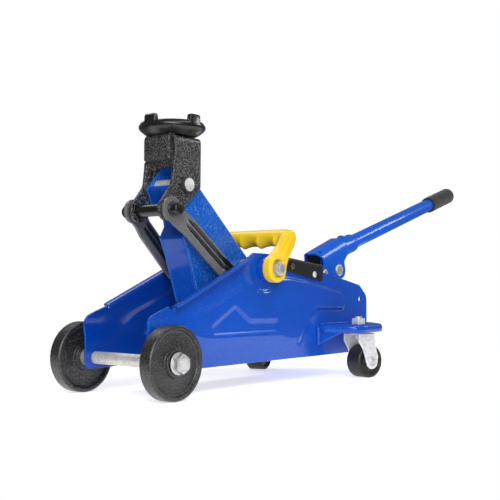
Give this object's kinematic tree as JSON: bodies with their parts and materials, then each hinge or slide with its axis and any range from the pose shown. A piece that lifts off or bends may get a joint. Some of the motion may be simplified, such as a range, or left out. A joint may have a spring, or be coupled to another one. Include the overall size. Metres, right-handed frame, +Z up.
{
  "type": "trolley jack",
  "caption": "Low hydraulic trolley jack with a raised parallelogram lift arm and horned saddle, swivel casters, swinging carry handle and a socketed pump handle.",
  "frame": {"origin": "on the floor, at the middle of the jack's length and width, pump handle included", "axes": "+X towards the pump handle's grip, +Y to the jack's right as it faces the car, +Z up"},
  "size_m": [0.8034, 0.2142, 0.318],
  "materials": {
    "blue_frame": "glossy blue powder coat with a fine orange-peel surface",
    "blue_handle": "bright glossy blue powder coat",
    "black_coat": "semi-gloss black hammered coating",
    "cast_black": "black enamel over a cast surface",
    "zinc": "bright zinc plate with light machining marks",
    "zinc_fork": "bright zinc-plated pressed sheet",
    "chromed_rod": "ground chromed rod",
    "dark_steel": "machined dark casting",
    "yellow_plastic": "moulded yellow plastic, satin",
    "black_plastic": "black moulded plastic",
    "caster_tread": "moulded black plastic wheel",
    "grip_foam": "matte black foam rubber"
  },
  "bodies": {
    "chassis": {"left_side_plate": "blue_frame", "right_side_plate": "blue_frame", "left_caster_ear": "blue_frame", "right_caster_ear": "blue_frame", "base_plate": "blue_frame", "cross_plate": "blue_frame", "front_axle": "zinc", "front_axle_washers": "zinc", "front_axle_nuts": "zinc", "axle_collars": "zinc", "pivot_shaft": "zinc", "pivot_spacers": "zinc", "pivot_bosses": "blue_frame", "pivot_washers": "zinc", "pivot_nuts": "zinc", "link_pins": "zinc", "pump_cover": "black_coat", "cover_screws": "zinc", "pump_body": "blue_frame", "pump_bolts": "zinc", "cylinder_tube": "dark_steel", "reservoir_tube": "blue_frame", "gland_nut": "dark_steel", "pump_barrel": "dark_steel", "filler_plug": "black_plastic", "socket_pin": "zinc", "caster_raceways": "zinc_fork", "caster_studs": "zinc", "caster_nuts": "zinc"},
    "arm": {"lift_arm": "blue_frame", "arm_front_plate": "blue_frame", "arm_pivot_sleeve": "blue_frame", "ram_pin": "zinc"},
    "links": {"left_link": "black_coat", "right_link": "black_coat", "link_cross_pin": "black_coat"},
    "bracket": {"saddle_bracket": "black_coat", "saddle_pin": "zinc"},
    "saddle": {"saddle": "cast_black", "saddle_stem": "black_coat"},
    "ram": {"ram_piston": "chromed_rod", "ram_yoke": "dark_steel"},
    "carry_handle": {"carry_handle": "yellow_plastic"},
    "handle_socket": {"handle_socket": "blue_handle", "socket_roller": "zinc", "socket_screw": "black_coat"},
    "pump_handle": {"handle_tube": "blue_handle", "tube_plug": "black_plastic", "handle_grip": "grip_foam"},
    "plunger": {"pump_plunger": "chromed_rod"},
    "release_valve": {"release_valve": "zinc"},
    "left_front_wheel": {"left_front_wheel": "cast_black"},
    "right_front_wheel": {"right_front_wheel": "cast_black"},
    "left_caster": {"left_caster_fork": "zinc_fork", "left_caster_axle": "zinc"},
    "right_caster": {"right_caster_fork": "zinc_fork", "right_caster_axle": "zinc"},
    "left_caster_wheel": {"left_caster_wheel": "caster_tread"},
    "right_caster_wheel": {"right_caster_wheel": "caster_tread"}
  },
  "joints": [
    {"name": "arm_lift", "type": "hinge", "parent": "chassis", "child": "arm", "pos_m": [-0.18273, 0, 0.141], "axis": [0, 1, 0], "range_deg": [-73, 0]},
    {"name": "links_swing", "type": "hinge", "parent": "chassis", "child": "links", "pos_m": [-0.21073, 0, 0.1115], "axis": [0, 1, 0], "range_deg": [-73.5, 0.5]},
    {"name": "bracket_level", "type": "hinge", "parent": "arm", "child": "bracket", "pos_m": [-0.29266, 0, 0.23555], "axis": [0, 1, 0], "range_deg": [-0.5, 73.5]},
    {"name": "ram_stroke", "type": "slide", "parent": "chassis", "child": "ram", "axis": [1, 0, 0], "range_m": [-0.0005, 0.0758]},
    {"name": "saddle_swivel", "type": "hinge", "parent": "bracket", "child": "saddle", "pos_m": [-0.28873, 0, 0.295], "axis": [0, 0, 1], "continuous": true},
    {"name": "carry_swing", "type": "hinge", "parent": "chassis", "child": "carry_handle", "pos_m": [-0.18273, 0, 0.141], "axis": [0, -1, 0], "range_deg": [-20, 38]},
    {"name": "pump_stroke", "type": "hinge", "parent": "chassis", "child": "handle_socket", "pos_m": [-0.00073, 0, 0.1375], "axis": [0, -1, 0], "range_deg": [0, 45]},
    {"name": "handle_pull", "type": "slide", "parent": "handle_socket", "child": "pump_handle", "axis": [0.9573, 0, 0.289], "range_m": [0, 0.08]},
    {"name": "plunger_stroke", "type": "slide", "parent": "chassis", "child": "plunger", "axis": [0, 0, 1], "range_m": [-0.0002, 0.0225]},
    {"name": "valve_turn", "type": "hinge", "parent": "chassis", "child": "release_valve", "pos_m": [0.04627, 0, 0.066], "axis": [1, 0, 0], "range_deg": [0, 180]},
    {"name": "left_front_spin", "type": "hinge", "parent": "chassis", "child": "left_front_wheel", "pos_m": [-0.36173, -0.071, 0.04], "axis": [0, 1, 0], "continuous": true},
    {"name": "left_caster_swivel", "type": "hinge", "parent": "chassis", "child": "left_caster", "pos_m": [-0.02623, -0.087, 0.05], "axis": [0, 0, 1], "continuous": true},
    {"name": "left_caster_spin", "type": "hinge", "parent": "left_caster", "child": "left_caster_wheel", "pos_m": [-0.01652, -0.08942, 0.0215], "axis": [0.2419, 0.9703, 0], "continuous": true},
    {"name": "right_front_spin", "type": "hinge", "parent": "chassis", "child": "right_front_wheel", "pos_m": [-0.36173, 0.071, 0.04], "axis": [0, 1, 0], "continuous": true},
    {"name": "right_caster_swivel", "type": "hinge", "parent": "chassis", "child": "right_caster", "pos_m": [-0.02623, 0.087, 0.05], "axis": [0, 0, 1], "continuous": true},
    {"name": "right_caster_spin", "type": "hinge", "parent": "right_caster", "child": "right_caster_wheel", "pos_m": [-0.01652, 0.08942, 0.0215], "axis": [-0.2419, 0.9703, 0], "continuous": true}
  ],
  "couplings": [
    {"joint": "links_swing", "follows": "arm_lift", "ratio": 1},
    {"joint": "bracket_level", "follows": "arm_lift", "ratio": -1},
    {"joint": "ram_stroke", "follows": "arm_lift", "m_per_rad": -0.0589},
    {"joint": "plunger_stroke", "follows": "pump_stroke", "m_per_rad": 0.028}
  ]
}
